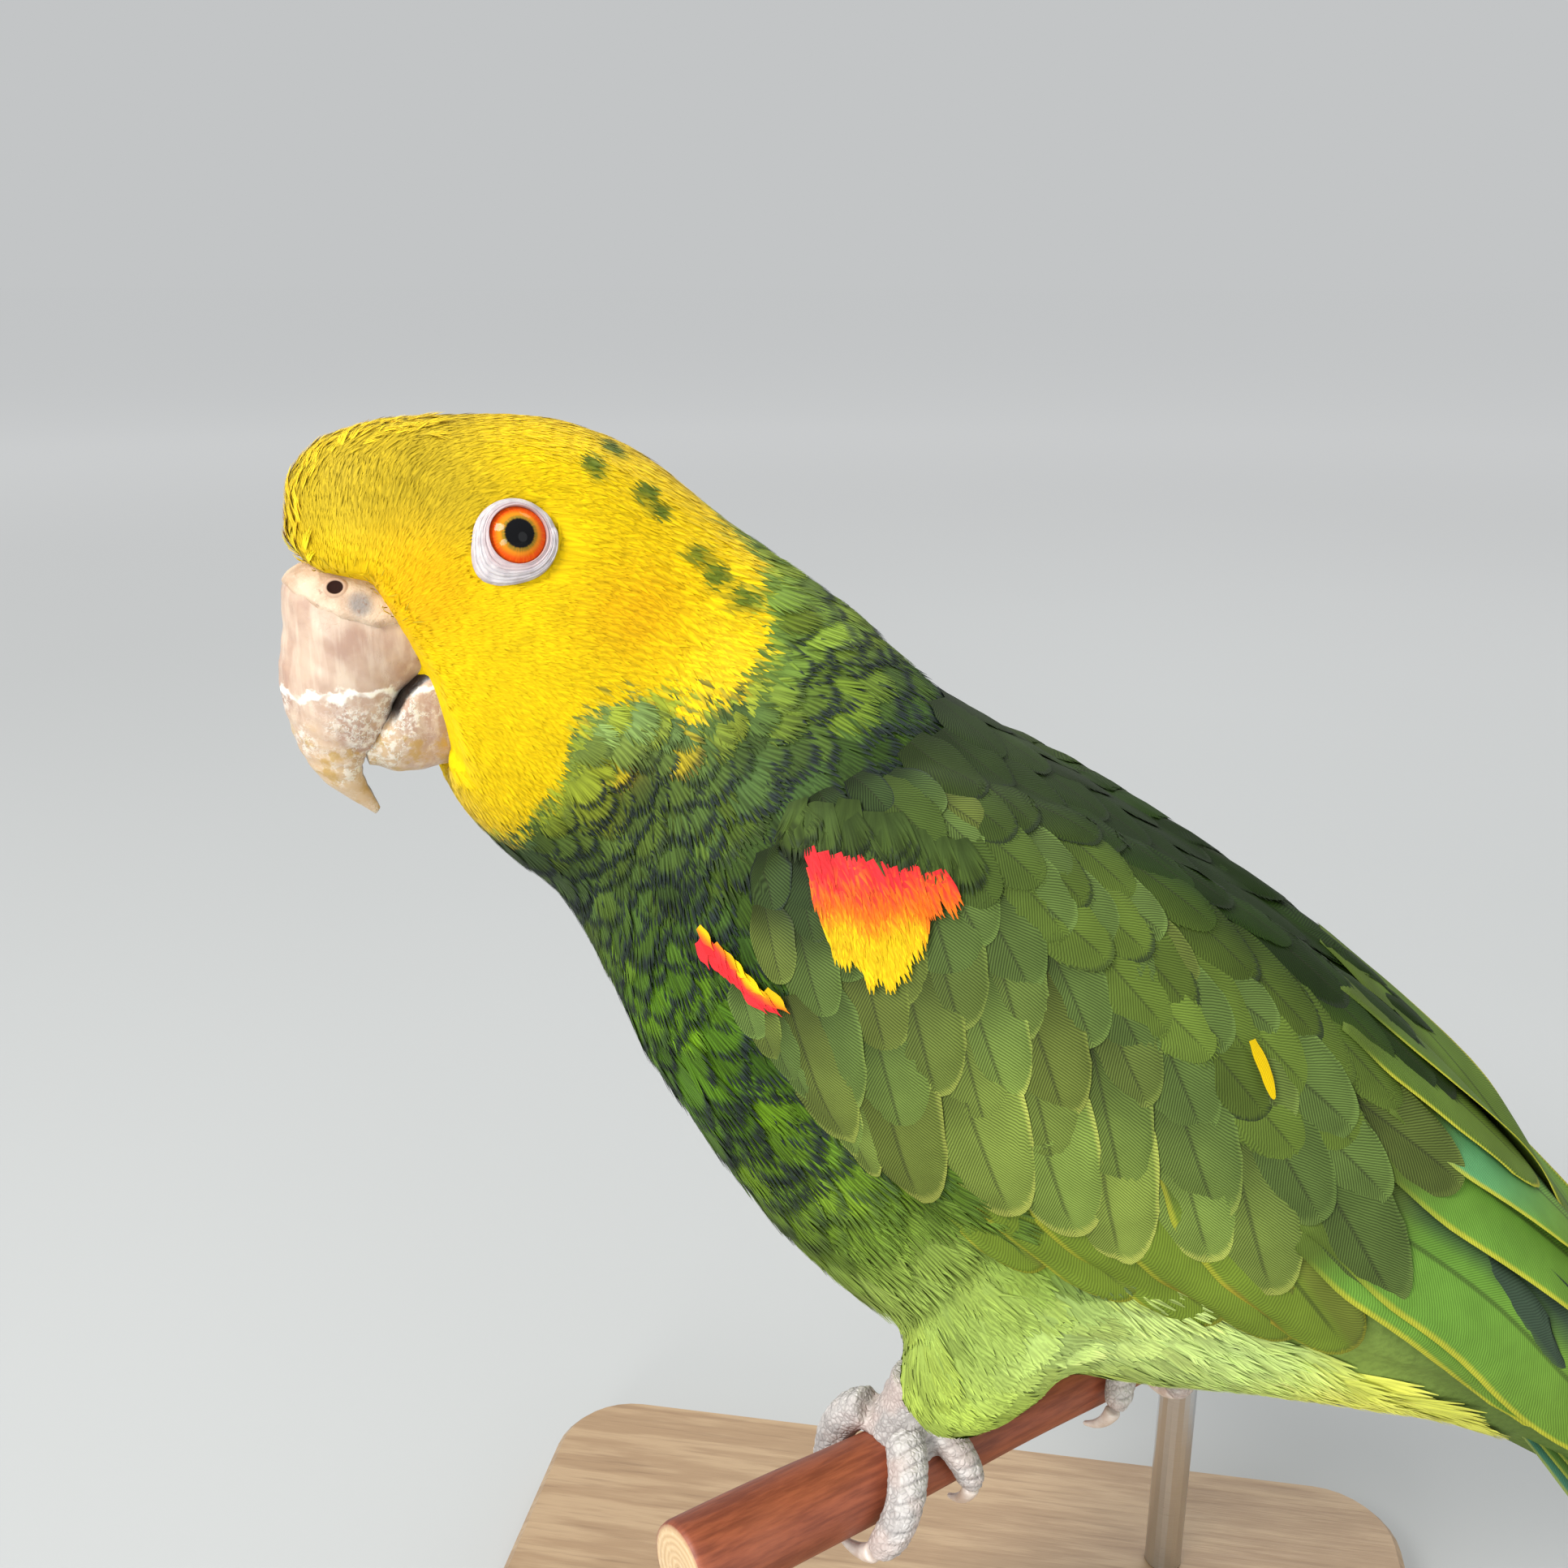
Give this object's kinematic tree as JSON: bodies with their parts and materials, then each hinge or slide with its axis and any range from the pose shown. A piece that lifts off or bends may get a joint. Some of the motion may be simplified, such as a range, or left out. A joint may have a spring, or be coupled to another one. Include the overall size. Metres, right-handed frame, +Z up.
{
  "type": "yellow-headed amazon parrot display model",
  "caption": "Still life-size amazon parrot, green with a yellow head turned to its left, gripping a short cut perch on rods over a flat base.",
  "frame": {"origin": "centre of the underside of the stand's base", "axes": "+Z up, -X the way the body faces, -Y the bird's left"},
  "size_m": [0.2736, 0.14, 0.2655],
  "materials": {
    "stand_base": "pale oiled wood",
    "stand_rod": "brushed",
    "perch_wood": "smooth reddish branch with pale sawn ends",
    "head_plumage": "soft yellow feathers",
    "body_plumage": "green scalloped feathers",
    "wing_plumage": "olive green vanes with a red and yellow shoulder",
    "tail_plumage": "green vanes with paler tips",
    "leg_plumage": "soft yellow-green feathers",
    "cere": "bare pinkish skin",
    "bill": "pale flaking horn",
    "eye": "wet orange iris and dark pupil",
    "foot_scales": "grey scaly skin",
    "claw": "pale horn"
  },
  "bodies": {
    "root": {"bill_lower": "bill", "bill_upper": "bill", "cere": "cere", "claw_left_hallux": "claw", "claw_left_inner": "claw", "claw_left_middle": "claw", "claw_left_outer": "claw", "claw_right_hallux": "claw", "claw_right_inner": "claw", "claw_right_middle": "claw", "claw_right_outer": "claw", "eye_left": "eye", "eye_right": "eye", "foot_left": "foot_scales", "foot_right": "foot_scales", "head": "head_plumage", "neck": "body_plumage", "perch": "perch_wood", "stand_base": "stand_base", "stand_rod_far": "stand_rod", "stand_rod_near": "stand_rod", "tail": "tail_plumage", "thigh_left": "leg_plumage", "thigh_right": "leg_plumage", "toe_left_hallux": "foot_scales", "toe_left_inner": "foot_scales", "toe_left_middle": "foot_scales", "toe_left_outer": "foot_scales", "toe_right_hallux": "foot_scales", "toe_right_inner": "foot_scales", "toe_right_middle": "foot_scales", "toe_right_outer": "foot_scales", "trunk": "body_plumage", "wing_left": "wing_plumage", "wing_right": "wing_plumage"}
  },
  "joints": []
}
